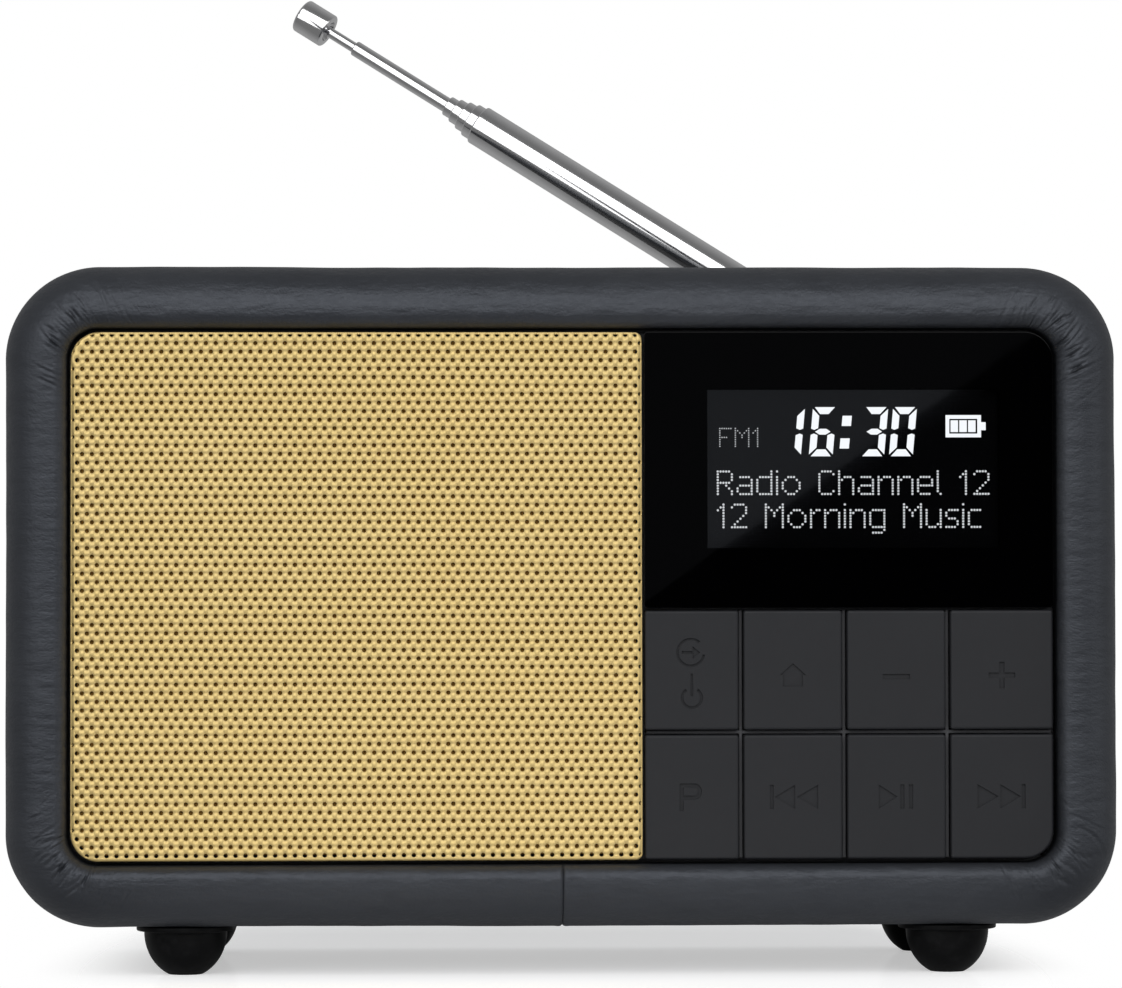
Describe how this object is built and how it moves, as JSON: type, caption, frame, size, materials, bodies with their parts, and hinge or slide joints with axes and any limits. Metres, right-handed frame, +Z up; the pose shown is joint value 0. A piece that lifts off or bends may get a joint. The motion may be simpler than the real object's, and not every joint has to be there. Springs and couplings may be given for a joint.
{
  "type": "portable radio",
  "caption": "Leather-wrapped box radio with a perforated metal speaker grille, dark display window, square push keys and a telescopic antenna, on domed rubber feet.",
  "frame": {"origin": "on the table plane, under the middle of the cabinet", "axes": "+X to the right and +Z up for someone facing the radio; the front faces -Y and +Y points out of the back"},
  "size_m": [0.18, 0.1051, 0.1706],
  "materials": {
    "cabinet_plastic": "moulded, matt",
    "leather": "fine-grained leather, soft sheen",
    "black_plastic": "fine spark texture",
    "screw_steel": "zinc plated",
    "black_steel": "black oxide",
    "grille_gold": "satin champagne gold",
    "cloth": "open black weave",
    "window_gloss": "piano black, clear over the display",
    "display": "dark display glass with pale figures",
    "circuit_board": "solder mask",
    "key_plastic": "soft-touch matt",
    "silicone": "matt",
    "soft_rubber": "matt",
    "foot_rubber": "matt",
    "pressed_steel": "plated",
    "cone_paper": "dyed paper pulp",
    "spider_cloth": "resin-dipped cloth",
    "copper": "enamelled copper",
    "ferrite": "sintered ferrite",
    "cell_wrap": "shrink sleeve",
    "wire_sleeve": "smooth sleeve",
    "antenna_chrome": "polished, nickel chrome plate"
  },
  "bodies": {
    "cabinet": {"cabinet_shell": "cabinet_plastic", "leather_wrap": "leather", "front_baffle": "black_plastic", "baffle_screws": "screw_steel", "speaker_grille": "grille_gold", "grille_cloth": "cloth", "display_window": "window_gloss", "display_panel": "display", "display_board": "circuit_board", "keypad_mat": "silicone", "keypad_board": "circuit_board", "board_screws": "screw_steel", "speaker_gasket": "cloth", "speaker_basket": "pressed_steel", "speaker_surround": "soft_rubber", "speaker_spider": "spider_cloth", "speaker_magnet": "ferrite", "speaker_top_plate": "pressed_steel", "speaker_yoke": "pressed_steel", "speaker_terminals": "copper", "speaker_screws": "screw_steel", "main_board": "circuit_board", "tuner_shield": "pressed_steel", "board_components": "black_plastic", "usb_socket": "pressed_steel", "audio_jack": "black_plastic", "battery_cells": "cell_wrap", "battery_holder": "black_plastic", "wiring": "wire_sleeve", "rear_panel": "black_plastic", "rear_screws": "black_steel", "bass_port": "black_plastic", "antenna_base": "black_plastic", "antenna_nut": "pressed_steel", "front_feet": "foot_rubber", "rear_feet": "foot_rubber", "foot_screws": "screw_steel"},
    "speaker_cone_body": {"speaker_cone": "cone_paper", "speaker_dust_cap": "cone_paper", "voice_coil": "copper"},
    "antenna_swivel_body": {"antenna_knuckle": "antenna_chrome", "antenna_retainer": "pressed_steel", "antenna_hinge_pin": "antenna_chrome"},
    "antenna_barrel_body": {"antenna_barrel": "antenna_chrome"},
    "key_power_body": {"key_power": "key_plastic"},
    "key_home_body": {"key_home": "key_plastic"},
    "key_minus_body": {"key_minus": "key_plastic"},
    "key_plus_body": {"key_plus": "key_plastic"},
    "key_preset_body": {"key_preset": "key_plastic"},
    "key_previous_body": {"key_previous": "key_plastic"},
    "key_play_pause_body": {"key_play_pause": "key_plastic"},
    "key_next_body": {"key_next": "key_plastic"},
    "antenna_section_2_body": {"antenna_section_2": "antenna_chrome"},
    "antenna_section_3_body": {"antenna_section_3": "antenna_chrome"},
    "antenna_section_4_body": {"antenna_section_4": "antenna_chrome"},
    "antenna_section_5_body": {"antenna_section_5": "antenna_chrome"},
    "antenna_section_6_body": {"antenna_section_6": "antenna_chrome"},
    "antenna_rod_body": {"antenna_rod": "antenna_chrome", "antenna_tip": "antenna_chrome"}
  },
  "joints": [
    {"name": "key_power_press", "type": "slide", "parent": "cabinet", "child": "key_power_body", "axis": [0, 1, 0], "range_m": [0, 0.001], "stiffness_N_per_m": 800, "springref_m": -0.001},
    {"name": "key_home_press", "type": "slide", "parent": "cabinet", "child": "key_home_body", "axis": [0, 1, 0], "range_m": [0, 0.001], "stiffness_N_per_m": 800, "springref_m": -0.001},
    {"name": "key_minus_press", "type": "slide", "parent": "cabinet", "child": "key_minus_body", "axis": [0, 1, 0], "range_m": [0, 0.001], "stiffness_N_per_m": 800, "springref_m": -0.001},
    {"name": "key_plus_press", "type": "slide", "parent": "cabinet", "child": "key_plus_body", "axis": [0, 1, 0], "range_m": [0, 0.001], "stiffness_N_per_m": 800, "springref_m": -0.001},
    {"name": "key_preset_press", "type": "slide", "parent": "cabinet", "child": "key_preset_body", "axis": [0, 1, 0], "range_m": [0, 0.001], "stiffness_N_per_m": 800, "springref_m": -0.001},
    {"name": "key_previous_press", "type": "slide", "parent": "cabinet", "child": "key_previous_body", "axis": [0, 1, 0], "range_m": [0, 0.001], "stiffness_N_per_m": 800, "springref_m": -0.001},
    {"name": "key_play_pause_press", "type": "slide", "parent": "cabinet", "child": "key_play_pause_body", "axis": [0, 1, 0], "range_m": [0, 0.001], "stiffness_N_per_m": 800, "springref_m": -0.001},
    {"name": "key_next_press", "type": "slide", "parent": "cabinet", "child": "key_next_body", "axis": [0, 1, 0], "range_m": [0, 0.001], "stiffness_N_per_m": 800, "springref_m": -0.001},
    {"name": "cone_travel", "type": "slide", "parent": "cabinet", "child": "speaker_cone_body", "axis": [0, -1, 0], "range_m": [-0.0015, 0.0015], "stiffness_N_per_m": 1500, "deforming": ["speaker_surround", "speaker_spider"]},
    {"name": "antenna_swivel", "type": "hinge", "parent": "cabinet", "child": "antenna_swivel_body", "pos_m": [0.073, 0.0395, 0.09155], "axis": [0, 1, 0], "range_deg": [-33, 147]},
    {"name": "antenna_tilt", "type": "hinge", "parent": "antenna_swivel_body", "child": "antenna_barrel_body", "pos_m": [0.073, 0.0395, 0.09155], "axis": [-0.5446, 0, -0.8387], "range_deg": [-11.5, 78.5]},
    {"name": "antenna_section_2_slide", "type": "slide", "parent": "antenna_barrel_body", "child": "antenna_section_2_body", "axis": [-0.8218, 0.1994, 0.5337], "range_m": [0, 0.085]},
    {"name": "antenna_section_3_slide", "type": "slide", "parent": "antenna_section_2_body", "child": "antenna_section_3_body", "axis": [-0.8218, 0.1994, 0.5337], "range_m": [0, 0.085]},
    {"name": "antenna_section_4_slide", "type": "slide", "parent": "antenna_section_3_body", "child": "antenna_section_4_body", "axis": [-0.8218, 0.1994, 0.5337], "range_m": [0, 0.085]},
    {"name": "antenna_section_5_slide", "type": "slide", "parent": "antenna_section_4_body", "child": "antenna_section_5_body", "axis": [-0.8218, 0.1994, 0.5337], "range_m": [0, 0.085]},
    {"name": "antenna_section_6_slide", "type": "slide", "parent": "antenna_section_5_body", "child": "antenna_section_6_body", "axis": [-0.8218, 0.1994, 0.5337], "range_m": [-0.0189, 0.07]},
    {"name": "antenna_rod_slide", "type": "slide", "parent": "antenna_section_6_body", "child": "antenna_rod_body", "axis": [-0.8218, 0.1994, 0.5337], "range_m": [-0.0054, 0.085]}
  ]
}
